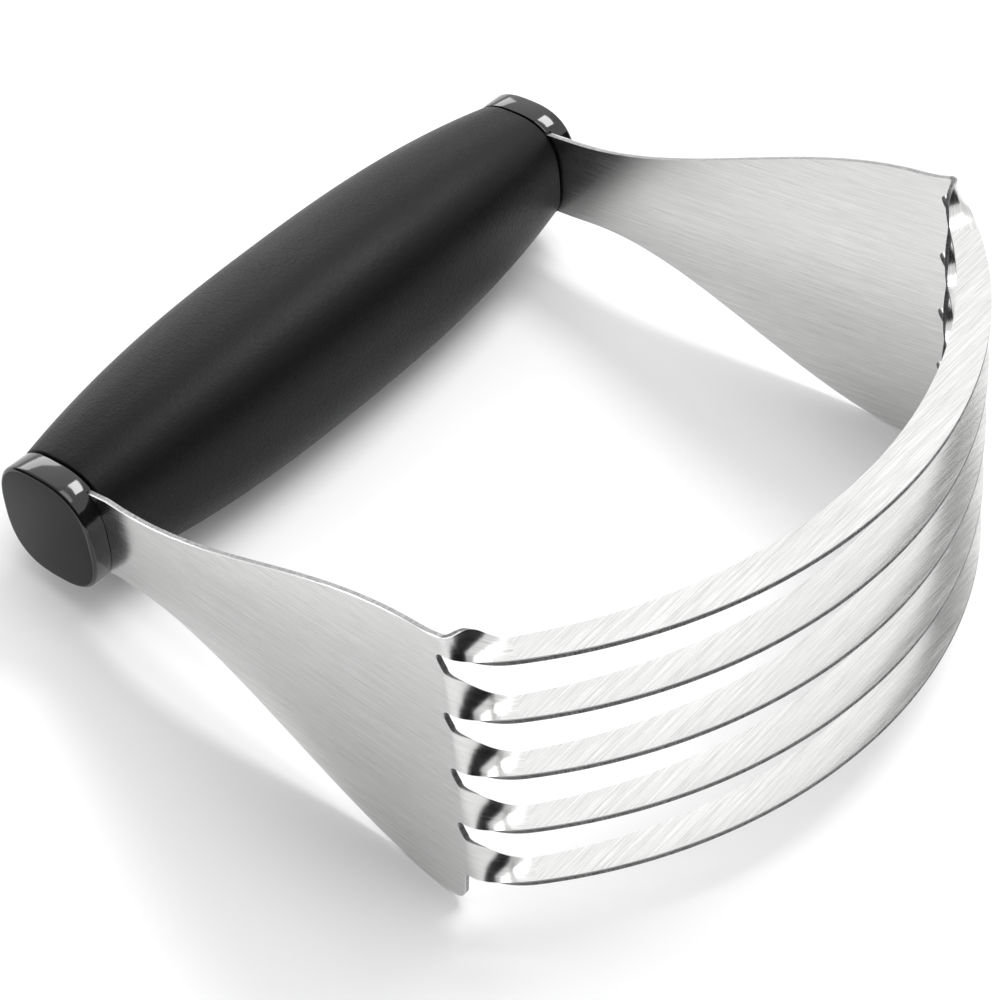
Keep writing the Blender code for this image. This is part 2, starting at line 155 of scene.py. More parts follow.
# Noise scales in cycles a metre, along and across the sheet's brushing and its cut edges
HAIR_SCALE = (200.0, 5600.0, 1.0)
LONG_HAIR_SCALE = (45.0, 2400.0, 1.0)
CLOUD_SCALE = (35.0, 90.0, 1.0)
TEAR_SCALE = (3600.0, 500.0, 1.0)
EDGE_GRAIN_SCALE = (9000.0, 9000.0, 1.0)
WANDER_SCALE = (420.0, 0.0, 1.0)

# Shares of the two hairline noises in the brushing
HAIR_SHARE = 0.6
LONG_HAIR_SHARE = 0.4

# Rubbed marks on the caps: cycles a metre on X, Y and Z, and their turn about Z in radians
RUBBED_SCALE = (900.0, 160.0, 900.0)
RUBBED_TURN = 0.6

# Ranges of a noise: all of it, and the middle where most of its values lie
WHOLE = (0.0, 1.0)
MIDDLE = (0.3, 0.7)

# Cut edge of the sheet: how far the burnished band's border wanders, and where it ends, in metres
BORDER_WANDER = 0.00018
BORDER_DEPTHS = (0.00022, 0.00032)

# Stage, in metres
CAMERA_PLACE = Vector((0.15029, -0.22095, 0.30817))
CAMERA_TURN = (math.radians(41.655), math.radians(-3.185), math.radians(39.304))
CAMERA_LENS = 104.0
CAMERA_SENSOR = 36.0
CAMERA_NEAR = 0.01
FLOOR_SIZE = 6.0
FLOOR_SQUARES = 8
FLOOR_DROP = 0.0002
CARDS_X = (-0.5, 0.15)
CARDS_Y = (-0.14, 0.3)
CARDS_HEIGHT = 0.12

# World: the direction of its dim side, and the strengths at two cosines from that direction
DIM_SIDE = Vector((-0.30, -0.84, 0.42))
DIM_COSINES = (0.25, 0.85)
DIM_STRENGTHS = (0.95, 0.4)

# Lights: name, direction from the tool, distance, width and length, watts
LIGHTS = (
    ("blade_light", Vector((-0.61, 0.54, 0.58)), 0.9, (0.9, 0.9), 0.7),
    ("top_light", Vector((0.1, 0.0, 1.0)), 1.0, (0.7, 0.7), 3.0),
    ("grip_light", Vector((-0.9, 0.35, 0.3)), 0.9, (0.6, 0.25), 1.6),
    ("cap_light", Vector((0.0, 0.54, 0.82)), 0.9, (0.45, 0.2), 3.0),
)


def smoothstep(value):
    value = min(1.0, max(0.0, value))
    return value * value * (3.0 - 2.0 * value)


def blend(start, end, share):
    return start + (end - start) * share


def resting_lean():
    """Turn about Y that brings the arms' lower edges level with the lowest point of the upright grip.

    The grip's rounded-square outline reaches a little lower once it leans, so the tool rests on the grip
    and the arms' tails end 0.23 mm above the floor.
    """
    leans = []
    for step in range(LEAN_STEPS + 1):
        x = blend(BEND_X, ROOT_X - NOTCH_RADIUS - TAIL_CORNER, step / LEAN_STEPS)
        depth = -lower_edge(x)
        if depth > GRIP_MIDDLE_HALF_Z:
            reach = math.hypot(x, depth)
            leans.append(math.atan2(depth, x) - math.asin(GRIP_MIDDLE_HALF_Z / reach))
    return max(leans)


def design_frame():
    """Matrix from the design frame in millimetres to the shared frame in metres."""
    low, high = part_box("handle_core")
    middle = (Vector(low) + Vector(high)) / 2
    lean = Matrix.Rotation(-resting_lean(), 4, "Y")
    return Matrix.Translation(middle) @ lean @ Matrix.Scale(MM, 4)


# ---------------------------------------------------------------- node helpers


class Nodes:
    """Short calls for building one material's node tree."""

    def __init__(self, name):
        self.material = bpy.data.materials.new(name)
        self.material.use_nodes = True
        self.tree = self.material.node_tree
        self.shader = self.tree.nodes["Principled BSDF"]

    def node(self, kind, **settings):
        made = self.tree.nodes.new(kind)
        for key, value in settings.items():
            setattr(made, key, value)
        return made

    def link(self, source, target):
        self.tree.links.new(source, target)

    def set(self, **values):
        for key, value in values.items():
            self.shader.inputs[key.replace("_", " ")].default_value = value

    def mapped(self, source, scale, turn=0.0):
        mapping = self.node("ShaderNodeMapping")
        mapping.inputs["Scale"].default_value = scale
        mapping.inputs["Rotation"].default_value = (0.0, 0.0, turn)
        self.link(source, mapping.inputs["Vector"])
        return mapping.outputs["Vector"]

    def noise(self, vector, scale=1.0, detail=3.0, roughness=0.5):
        made = self.node("ShaderNodeTexNoise")
        made.inputs["Scale"].default_value = scale
        made.inputs["Detail"].default_value = detail
        made.inputs["Roughness"].default_value = roughness
        self.link(vector, made.inputs["Vector"])
        return made.outputs["Fac"]

    def spread(self, value, source, target):
        """Maps the source range of a value to the target range."""
        made = self.node("ShaderNodeMapRange")
        made.inputs["From Min"].default_value = source[0]
        made.inputs["From Max"].default_value = source[1]
        made.inputs["To Min"].default_value = target[0]
        made.inputs["To Max"].default_value = target[1]
        self.link(value, made.inputs["Value"])
        return made.outputs["Result"]

    def maths(self, operation, *values):
        made = self.node("ShaderNodeMath", operation=operation)
        for slot, value in zip(made.inputs, values):
            if isinstance(value, (int, float)):
                slot.default_value = value
            else:
                self.link(value, slot)
        return made.outputs["Value"]

    def colours(self, value, first, last):
        """A ramp from the first colour, where the value is 0, to the last, where it is 1."""
        made = self.node("ShaderNodeValToRGB")
        made.color_ramp.elements[0].color = (*first, 1.0)
        made.color_ramp.elements[1].color = (*last, 1.0)
        self.link(value, made.inputs["Fac"])
        return made.outputs["Color"]

    def bump(self, height, strength, distance):
        made = self.node("ShaderNodeBump")
        made.inputs["Strength"].default_value = strength
        made.inputs["Distance"].default_value = distance
        self.link(height, made.inputs["Height"])
        return made.outputs["Normal"]

    def put(self, name, value):
        self.link(value, self.shader.inputs[name])


def brushed_steel():
    """Hairlines run along U of the map, whose unit is a metre."""
    made = Nodes("brushed_steel_face")
    uv = made.node("ShaderNodeTexCoord").outputs["UV"]
    hair = made.noise(made.mapped(uv, HAIR_SCALE), detail=4.0, roughness=0.6)
    long_hair = made.noise(made.mapped(uv, LONG_HAIR_SCALE), detail=3.0)
    cloud = made.noise(made.mapped(uv, CLOUD_SCALE), detail=2.0)
    longer = made.maths("MULTIPLY", long_hair, LONG_HAIR_SHARE)
    streaks = made.maths("MULTIPLY_ADD", hair, HAIR_SHARE, longer)
    shade = made.spread(streaks, (0.32, 0.68), WHOLE)
    made.put("Base Color", made.colours(shade, (0.56, 0.56, 0.555), (0.80, 0.80, 0.795)))
    streaked = made.spread(streaks, MIDDLE, (0.15, 0.27))
    clouded = made.spread(cloud, MIDDLE, (-0.03, 0.03))
    made.put("Roughness", made.maths("ADD", streaked, clouded))
    made.put("Normal", made.bump(streaks, strength=0.30, distance=0.00003))
    tangent = made.node("ShaderNodeTangent", direction_type="UV_MAP", uv_map="UVMap")
    made.link(tangent.outputs["Tangent"], made.shader.inputs["Tangent"])
    made.set(Metallic=1.0, Anisotropic=0.35, Anisotropic_Rotation=0.25)
    return made.material


def sheared_steel(name, burnished_grey, torn_grey):
    """The sheet's cut edges: U runs along the edge and V through the thickness, in metres."""
    made = Nodes(name)
    uv = made.node("ShaderNodeTexCoord").outputs["UV"]
    tears = made.noise(made.mapped(uv, TEAR_SCALE), detail=3.0, roughness=0.6)
    grain = made.noise(made.mapped(uv, EDGE_GRAIN_SCALE), detail=2.0)
    parts = made.node("ShaderNodeSeparateXYZ")
    made.link(uv, parts.inputs["Vector"])
    wander = made.noise(made.mapped(uv, WANDER_SCALE), detail=2.0)
    border = made.spread(wander, WHOLE, (-BORDER_WANDER, BORDER_WANDER))
    depth = made.maths("ADD", parts.outputs["Y"], border)
    beyond_band = made.spread(depth, BORDER_DEPTHS, WHOLE)
    torn = made.maths("MULTIPLY", beyond_band, made.spread(tears, (0.35, 0.65), (0.45, 1.0)))
    made.put("Base Color", made.colours(torn, [burnished_grey] * 3, [torn_grey] * 3))
    made.put("Roughness", made.spread(torn, WHOLE, (0.3, 0.6)))
    height = made.maths("MULTIPLY", made.maths("ADD", tears, grain), beyond_band)
    made.put("Normal", made.bump(height, strength=0.8, distance=0.00006))
    made.set(Metallic=1.0)
    return made.material


def grained_plastic():
    """Fine spark-eroded mould grain on matt black plastic."""
    made = Nodes("matte_black_grip")
    place = made.node("ShaderNodeTexCoord").outputs["Object"]
    fine = made.noise(place, scale=3400.0, detail=3.0, roughness=0.65)
    coarse = made.noise(place, scale=1900.0, detail=2.0)
    handled = made.noise(place, scale=45.0, detail=3.0)
    shade = made.spread(fine, MIDDLE, WHOLE)
    made.put("Base Color", made.colours(shade, (0.0025, 0.0025, 0.0027), (0.006, 0.006, 0.0063)))
    worn = made.spread(handled, MIDDLE, (0.37, 0.45))
    grained = made.spread(coarse, MIDDLE, (-0.04, 0.04))
    made.put("Roughness", made.maths("ADD", worn, grained))
    made.put("Normal", made.bump(made.maths("ADD", fine, coarse), strength=0.5, distance=0.0001))
    made.set(Specular_IOR_Level=0.17)
    return made.material


def glossy_plastic(name, shine, lacquer):
    """Polished black moulding, with faint flow ripples and fine rubbed marks."""
    made = Nodes(name)
    place = made.node("ShaderNodeTexCoord").outputs["Object"]
    flow = made.noise(place, scale=90.0, detail=2.0)
    rubbed = made.noise(made.mapped(place, RUBBED_SCALE, RUBBED_TURN), detail=4.0, roughness=0.7)
    made.put("Base Color", made.colours(flow, (0.005, 0.005, 0.0055), (0.009, 0.009, 0.0095)))
    made.put("Roughness", made.spread(rubbed, (0.45, 0.75), (0.07, 0.16)))
    made.put("Normal", made.bump(flow, strength=0.12, distance=0.0003))
    made.set(Specular_IOR_Level=shine, Coat_Weight=lacquer, Coat_IOR=2.0, Coat_Roughness=0.06)
    return made.material


def core_plastic():
    """Plain grey moulding of the hidden core."""
    made = Nodes("grey_core_moulding")
    place = made.node("ShaderNodeTexCoord").outputs["Object"]
    grain = made.noise(place, scale=1500.0, detail=3.0)
    made.put("Base Color", made.colours(grain, (0.09, 0.09, 0.09), (0.15, 0.15, 0.15)))
    made.put("Roughness", made.spread(grain, MIDDLE, (0.45, 0.6)))
    made.put("Normal", made.bump(grain, strength=0.3, distance=0.00005))
    return made.material


def screw_steel():
    """Mottled zinc plating of the hidden screws."""
    made = Nodes("zinc_screw_steel")
    place = made.node("ShaderNodeTexCoord").outputs["Object"]
    mottle = made.noise(place, scale=900.0, detail=4.0)
    made.put("Base Color", made.colours(mottle, (0.5, 0.5, 0.48), (0.68, 0.68, 0.66)))
    made.put("Roughness", made.spread(mottle, MIDDLE, (0.28, 0.42)))
    made.put("Normal", made.bump(mottle, strength=0.25, distance=0.00005))
    made.set(Metallic=1.0)
    return made.material


def floor_paint():
    """Nearly white paint with a faint mottle."""
    made = Nodes("pale_floor")
    place = made.node("ShaderNodeTexCoord").outputs["Object"]
    mottle = made.noise(place, scale=30.0, detail=3.0)
    made.put("Base Color", made.colours(mottle, (0.90, 0.90, 0.90), (0.92, 0.92, 0.92)))
    made.set(Roughness=0.7, Specular_IOR_Level=0.2)
    return made.material


# ---------------------------------------------------------------- sheet outline


def flare(x, start, end, low, high):
    """Half height of an arm whose edge runs from low to high in one smooth sweep."""
    return blend(low, high, smoothstep((x - start) / (end - start)))


def upper_edge(x):
    """Height of an arm's upper edge, with the small lip where the top blade leaves it."""
    lip = max(0.0, 1.0 - (ROOT_X - x) / LIP_LENGTH) ** 2
    height = flare(x, UPPER_FLARE_FROM, UPPER_FLARE_TO, UPPER_EDGE_START, UPPER_EDGE_END)
    return blend(height, LIP_TOP, lip)


def lower_edge(x):
    """Height of an arm's lower edge."""
    return -flare(x, LOWER_FLARE_FROM, LOWER_FLARE_TO, LOWER_EDGE_START, TAIL_BOTTOM)


def arm_outer_y(x):
    """Distance of an arm's outer face from the middle plane."""
    return TAB_OUTER_Y + SPLAY * max(0.0, x - BEND_X)


def blade_level(index):
    """Height of a blade's middle plane; the top blade has index 0."""
    return ((BLADES - 1) / 2 - index) * PITCH


def outer_radius(angle):
    return OUTER_RADIUS + OUTER_GROWTH * (angle / GROWTH_ANGLE) ** 2


def inner_radius(angle):
    return INNER_RADIUS + INNER_GROWTH * (angle / GROWTH_ANGLE) ** 2


def root_span(index):
    """Heights of the lower and upper side of a strip where it leaves the arm."""
    lower = blade_level(index) + SLOT_TOP
    if index == 0:
        return lower, LIP_TOP
    return lower, blade_level(index - 1) + SLOT_TOP - SLOT_HEIGHT


def twist_path(share):
    """Plan point and heading of the lower edge, on a curve that leaves the arm and meets the arc."""
    start = Vector((ROOT_X, -(arm_outer_y(ROOT_X) - SHEET / 2)))
    radius = outer_radius(ARC_END)
    end = Vector((ARC_CENTRE_X + radius * math.cos(ARC_END), -radius * math.sin(ARC_END)))
    end_slope = math.cos(ARC_END) / math.sin(ARC_END)
    corner_x = (start.y + SPLAY * start.x - end.y + end_slope * end.x) / (SPLAY + end_slope)
    corner = Vector((corner_x, start.y - SPLAY * (corner_x - start.x)))
    plan = start * (1 - share) ** 2 + corner * 2 * share * (1 - share) + end * share ** 2
    heading = (corner - start) * (1 - share) + (end - corner) * share
    return plan, heading.normalized()


def twist_section(index, share):
    """Lower and upper edge of a strip in its twist: 0 at the arm, 1 where the blade lies level."""
    plan, heading = twist_path(share)
    low, high = root_span(index)
    turn = QUARTER_TURN * smoothstep(share)
    end_width = outer_radius(ARC_END) - inner_radius(ARC_END)
    if index == 0:
        width = blend(high - low, end_width, share)
        width += TOP_TWIST_SWELL * math.sin(math.pi * share ** TOP_SWELL_SHIFT) ** 4
    else:
        width = blend(end_width, high - low, (1 - share) ** TWIST_NARROWING)
        width -= TWIST_WAIST * math.sin(math.pi * share) ** 2
    height = blend(low, blade_level(index), smoothstep(share))
    lower = Vector((plan.x, plan.y, height))
    inward = math.sin(turn)
    upward = math.cos(turn)
    upper = lower + Vector((-heading.y * inward, heading.x * inward, upward)) * width
    return lower, upper


def arc_section(index, angle):
    """Outer and inner edge of a level blade at one angle round the arc's centre."""
    direction = Vector((math.cos(angle), math.sin(angle), 0.0))
    centre = Vector((ARC_CENTRE_X, 0.0, blade_level(index)))
    return centre + direction * outer_radius(angle), centre + direction * inner_radius(angle)


def mirrored(point):
    return Vector((point.x, -point.y, point.z))


def strip_sections(index):
    """Outer and inner edge points of one strip, from the left arm round to the right arm."""
    shares = [(step / TWIST_STEPS) ** TWIST_CROWDING for step in range(TWIST_STEPS + 1)]
    twist = [twist_section(index, share) for share in shares]
    arc = [
        arc_section(index, blend(-ARC_END, ARC_END, step / ARC_STEPS))
        for step in range(1, ARC_STEPS)
    ]
    back = [(mirrored(low), mirrored(high)) for low, high in reversed(twist)]
    return twist + arc + back


def arm_outline():
    """Points along the upper edge, from the cap to the top blade."""
    points = []
    for step in range(OUTLINE_STEPS):
        x = blend(BEND_X, ROOT_X, step / OUTLINE_STEPS)
        points.append((x, upper_edge(x)))
    return points


def slot_end(index):
    """Points round the closed end of the slot below one strip: a quarter round, then a long sweep down."""
    top = blade_level(index) + SLOT_TOP
    points = []
    for step in range(1, ROUND_STEPS + 1):
        angle = QUARTER_TURN * step / ROUND_STEPS
        points.append((ROOT_X - SLOT_REACH * math.sin(angle), top - SLOT_ROUND * (1 - math.cos(angle))))
    start = Vector(points[-1])
    bend = Vector((ROOT_X - SLOT_SWEEP_X, start.y - SLOT_SWEEP_DROP))
    end = Vector((ROOT_X, top - SLOT_HEIGHT))
    for step in range(1, ROUND_STEPS):
        share = step / ROUND_STEPS
        point = start * (1 - share) ** 2 + bend * 2 * share * (1 - share) + end * share ** 2
        points.append((point.x, point.y))
    return points


def tail_outline():
    """Points round the notch under the lowest strip and the tail's corner."""
    notch_top = root_span(BLADES - 1)[0]
    edge_x = ROOT_X - NOTCH_RADIUS
    points = []
    for step in range(1, ROUND_STEPS + 1):
        angle = math.radians(90.0 + 90.0 * step / ROUND_STEPS)
        points.append((
            ROOT_X + NOTCH_RADIUS * math.cos(angle),
            notch_top - NOTCH_RADIUS + NOTCH_RADIUS * math.sin(angle),
        ))
    for step in range(ROUND_STEPS + 1):
        angle = math.radians(-90.0 * step / ROUND_STEPS)
        points.append((
            edge_x + (TAIL_X - ROOT_X) - TAIL_CORNER + TAIL_CORNER * math.cos(angle),
            -TAIL_BOTTOM + TAIL_CORNER + TAIL_CORNER * math.sin(angle),
        ))
    return points


def lower_outline():
    """Points along the lower edge, from the tail back to the cap."""
    points = []
    start = ROOT_X - NOTCH_RADIUS - TAIL_CORNER
    for step in range(1, OUTLINE_STEPS + 1):
        x = blend(start, BEND_X, step / OUTLINE_STEPS)
        points.append((x, lower_edge(x)))
    return points


def tab_outline():
    """Points round the arm's hidden tab inside the cap."""
    points = []
    for step in range(2 * ROUND_STEPS + 1):
        angle = math.radians(-90.0 - 180.0 * step / (2 * ROUND_STEPS))
        points.append((TAB_RADIUS * math.cos(angle), TAB_RADIUS * math.sin(angle)))
    return points


DESIGN = design_frame()


# ---------------------------------------------------------------- blade sheet

# Materials of the sheet: its faces, the cut edges of slots and blades, and the arms' edges, painted
# lighter as painted light from above
FACE_SLOT = 0
EDGE_SLOT = 1
ARM_EDGE_SLOT = 2


class Pair:
    """One outline or surface point: its two vertices, and its place in the flat sheet."""

    def __init__(self, mesh, outer, inner, flat):
        self.outer = mesh.verts.new(outer)
        self.inner = mesh.verts.new(inner)
        self.flat = flat


class SheetBuilder:
    """Gathers the faces of the sheet's two sides and the cut wall between them."""

    def __init__(self):
        self.mesh = bmesh.new()
        self.map = self.mesh.loops.layers.uv.new("UVMap")

    def pair(self, outer, inner, flat):
        return Pair(self.mesh, outer, inner, flat)

    def face(self, vertices, flats, slot):
        made = self.mesh.faces.new(vertices)
        made.material_index = slot
        for loop, flat in zip(made.loops, flats):
            loop[self.map].uv = (flat[0] * MM, flat[1] * MM)

    def faces(self, pairs, flats=None):
        """Adds the same face to both sides of the sheet."""
        flats = flats or [one.flat for one in pairs]
        self.face([one.outer for one in pairs], flats, FACE_SLOT)
        self.face([one.inner for one in reversed(pairs)], list(reversed(flats)), FACE_SLOT)

    def wall(self, first, second, travelled, slot):
        """Adds one cut face and returns how far along the edge it ends."""
        length = (second.outer.co - first.outer.co).length
        end = travelled + length
        flats = [(travelled, 0), (travelled, SHEET), (end, SHEET), (end, 0)]
        self.face([first.outer, first.inner, second.inner, second.outer], flats, slot)
        return end

    def chain(self, pairs, reverse=False, slot=EDGE_SLOT):
        """Adds the cut faces along a row of pairs."""
        travelled = 0.0
        for first, second in zip(pairs, pairs[1:]):
            if reverse:
                travelled = self.wall(second, first, travelled, slot)
            else:
                travelled = self.wall(first, second, travelled, slot)


def brushed_place(point):
    """On the blades the brushing runs across the tool, parallel to the handle."""
    return point.y, point.x


def build_strip(builder, index):
    """Adds one blade with its two twists and returns its first and last row of pairs."""
    grid = [
        [low.lerp(high, row / ACROSS) for row in range(ACROSS + 1)]
        for low, high in strip_sections(index)
    ]
    last = len(grid) - 1
    low, high = root_span(index)
    middle = ACROSS // 2
    travelled = [0.0]
    for before, after in zip(grid, grid[1:]):
        travelled.append(travelled[-1] + (after[middle] - before[middle]).length)
    columns = []
    for column, points in enumerate(grid):
        before = grid[max(0, column - 1)]
        after = grid[min(last, column + 1)]
        made = []
        for row, point in enumerate(points):
            along = after[row] - before[row]
            normal = along.cross(points[ACROSS] - points[0]).normalized() * (SHEET / 2)
            if column in (0, last):
                normal = Vector((0.0, math.copysign(SHEET / 2, point.y), 0.0))
            flat = (ROOT_X + travelled[column], blend(low, high, row / ACROSS))
            made.append(builder.pair(point + normal, point - normal, flat))
        columns.append(made)
    for column, (before, after) in enumerate(zip(columns, columns[1:])):
        twisted = column < TWIST_STEPS or column >= TWIST_STEPS + ARC_STEPS
        for row in range(ACROSS):
            corners = [before[row], after[row], after[row + 1], before[row + 1]]
            places = [
                grid[column][row],
                grid[column + 1][row],
                grid[column + 1][row + 1],
                grid[column][row + 1],
            ]
            flats = None if twisted else [brushed_place(place) for place in places]
            builder.faces(corners, flats)
    builder.chain([column[0] for column in columns], reverse=True)
    builder.chain([column[ACROSS] for column in columns])
    return columns[0], columns[-1]


def build_arm(builder, side, roots):
    """Adds one arm; roots holds the strips' end rows, from the top strip down."""
    def pair(place):
        x, z = place
        outer_y = arm_outer_y(x)
        outer = Vector((x, side * outer_y, z))
        inner = Vector((x, side * (outer_y - SHEET), z))
        return builder.pair(outer, inner, (x, z))

    for index, root in enumerate(roots):
        low, high = root_span(index)
        for row, one in enumerate(root):
            one.flat = (ROOT_X, blend(low, high, row / ACROSS))
    top = [pair(place) for place in arm_outline()]
    slots = [[pair(place) for place in slot_end(index)] for index in range(BLADES - 1)]
    tail = [pair(place) for place in tail_outline()]
    low = [pair(place) for place in lower_outline()]
    tab = [pair(place) for place in tab_outline()]
    ring = list(top)
    chains = [top + [roots[0][ACROSS]]]
    for index, root in enumerate(roots):
        ring += list(reversed(root))
        if index < BLADES - 1:
            ring += slots[index]
            chains.append([root[0]] + slots[index] + [roots[index + 1][ACROSS]])
        else:
            chains.append([root[0]] + tail + low + tab + [top[0]])
    ring += tail + low
    tab_ring = [low[-1]] + tab + [top[0]]
    if side > 0:
        ring.reverse()
        tab_ring.reverse()
    builder.faces(ring)
    builder.faces(tab_ring)
    for position, chain in enumerate(chains):
        # The arms' outline edges take the copy of the cut edge painted lighter: painted light for the
        # light their top edges catch
        slot = ARM_EDGE_SLOT if position in (0, len(chains) - 1) else EDGE_SLOT
        builder.chain(chain, side < 0, slot)


def finished(name, mesh, materials, sharp_degrees=SHARP_DEGREES):
    """Turns a bmesh in design millimetres into a smooth-shaded piece in the shared frame."""
    bmesh.ops.recalc_face_normals(mesh, faces=mesh.faces)
    data = bpy.data.meshes.new(name)
    mesh.to_mesh(data)
    mesh.free()
    data.transform(DESIGN)
    for made in materials:
        data.materials.append(made)
    data.shade_smooth()
    data.set_sharp_from_angle(angle=math.radians(sharp_degrees))
    piece = bpy.data.objects.new(name, data)
    bpy.context.scene.collection.objects.link(piece)
    return piece


def edge_round(piece, width, segments, degrees):
    """Rounds the edges that are sharper than the given angle; the width is in millimetres."""
    bevel = piece.modifiers.new("edge_round", "BEVEL")
    bevel.width = width * MM
    bevel.segments = segments
    bevel.limit_method = "ANGLE"
    bevel.angle_limit = math.radians(degrees)
    bevel.miter_outer = "MITER_ARC"
    bevel.use_clamp_overlap = True
    weighted = piece.modifiers.new("flat_faces", "WEIGHTED_NORMAL")
    weighted.keep_sharp = True


def blade_sheet(materials):
    """The arms and the blades, as one sheet."""
    builder = SheetBuilder()
    left_roots, right_roots = zip(*[build_strip(builder, index) for index in range(BLADES)])
    build_arm(builder, -1, left_roots)
    build_arm(builder, 1, right_roots)
    piece = finished("blade_sheet_skin", builder.mesh, materials)
    edge_round(piece, SHEET_EDGE_ROUND, SHEET_ROUND_SEGMENTS, SHEET_ROUND_DEGREES)
    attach(piece, "root")
    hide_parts("blade_sheet")


# ---------------------------------------------------------------- handle


def squircle(half_x, half_z, angle):
    """Point of a rounded square at one angle."""
    cosine = math.cos(angle)
    sine = math.sin(angle)
    power = 2.0 / SQUIRCLE_POWER
    x = half_x * math.copysign(abs(cosine) ** power, cosine)
    z = half_z * math.copysign(abs(sine) ** power, sine)
    return x, z


def squircle_ring(mesh, half_x, half_z, y, angles):
    """Ring of vertices at one y; angles holds pairs of an angle and an inset."""
    ring = []
    for angle, inset in angles:
        x, z = squircle(half_x - inset, half_z - inset, angle)
        ring.append(mesh.verts.new((x, y, z)))
    return ring


def even_angles():
    """Even angles, each with no inset."""
    return [(math.tau * step / ROUND_SIDES, 0.0) for step in range(ROUND_SIDES)]


def parted_angles():
    """Angles and insets round the grip, with a shallow groove at the two mould parting lines."""
    angles = even_angles()
    for middle in PARTING_ANGLES:
        angles += [
            (middle - PARTING_HALF_WIDTH, 0.0),
            (middle, PARTING_DEPTH),
            (middle + PARTING_HALF_WIDTH, 0.0),
        ]
    return sorted(angles)


def join_rings(mesh, first, second):
    """Joins two rings of equal count with a band of quads."""
    count = len(first)
    for step in range(count):
        following = (step + 1) % count
        mesh.faces.new([first[step], first[following], second[following], second[step]])


def grip_half_sizes(y):
    """Half width and half height of the barrel at one y."""
    share = 1.0 - (abs(y) / GRIP_HALF_LENGTH) ** GRIP_BARREL_POWER
    half_x = blend(GRIP_END_HALF_X, GRIP_MIDDLE_HALF_X, share)
    half_z = blend(GRIP_END_HALF_Z, GRIP_MIDDLE_HALF_Z, share)
    return half_x * SKIN_SHRINK, half_z * SKIN_SHRINK


def handle_grip(plastic):
    """The barrel with rounded ends, and a plain bore for the core."""
    mesh = bmesh.new()
    angles = parted_angles()
    straight = GRIP_HALF_LENGTH - GRIP_END_ROUND
    rings = []
    for step in range(GRIP_RINGS + 1):
        y = blend(-1.0, 1.0, step / GRIP_RINGS) * straight
        rings.append(squircle_ring(mesh, *grip_half_sizes(y), y, angles))
    half_x, half_z = grip_half_sizes(straight)
    for side in (-1, 1):
        for degrees in GRIP_END_DEGREES:
            turn = math.radians(degrees)
            y = straight + GRIP_END_ROUND * math.sin(turn)
            inset = GRIP_END_ROUND * (1.0 - math.cos(turn))
            ring = squircle_ring(mesh, half_x - inset, half_z - inset, side * y, angles)
            if side < 0:
                rings.insert(0, ring)
            else:
                rings.append(ring)
    bore = []
    for side in (1, -1):
        ring = []
        for angle, _ in angles:
            x = BORE_RADIUS * math.cos(angle)
            z = BORE_RADIUS * math.sin(angle)
            ring.append(mesh.verts.new((x, side * GRIP_HALF_LENGTH, z)))
        bore.append(ring)
    loop = rings + bore + [rings[0]]
    for first, second in zip(loop, loop[1:]):
        join_rings(mesh, first, second)
    piece = finished("handle_grip_skin", mesh, [plastic])
    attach(piece, "root")
    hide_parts("handle_grip")


def box(low, high):
    """Box between two corners, as a bmesh."""
    made = bmesh.new()
    for corner in bmesh.ops.create_cube(made, size=1.0)["verts"]:
        for axis in range(3):
            corner.co[axis] = high[axis] if corner.co[axis] > 0 else low[axis]
    return made


def cut_out(piece, tool):
    """Takes the tool away from the piece, and keeps the result as the piece's own mesh."""
    modifier = piece.modifiers.new("cut", "BOOLEAN")
    modifier.operation = "DIFFERENCE"
    modifier.solver = "EXACT"
    modifier.object = tool
    graph = bpy.context.evaluated_depsgraph_get()
    cut = bpy.data.meshes.new_from_object(piece.evaluated_get(graph))
    piece.modifiers.clear()
    piece.data = cut
    bpy.data.objects.remove(tool, do_unlink=True)


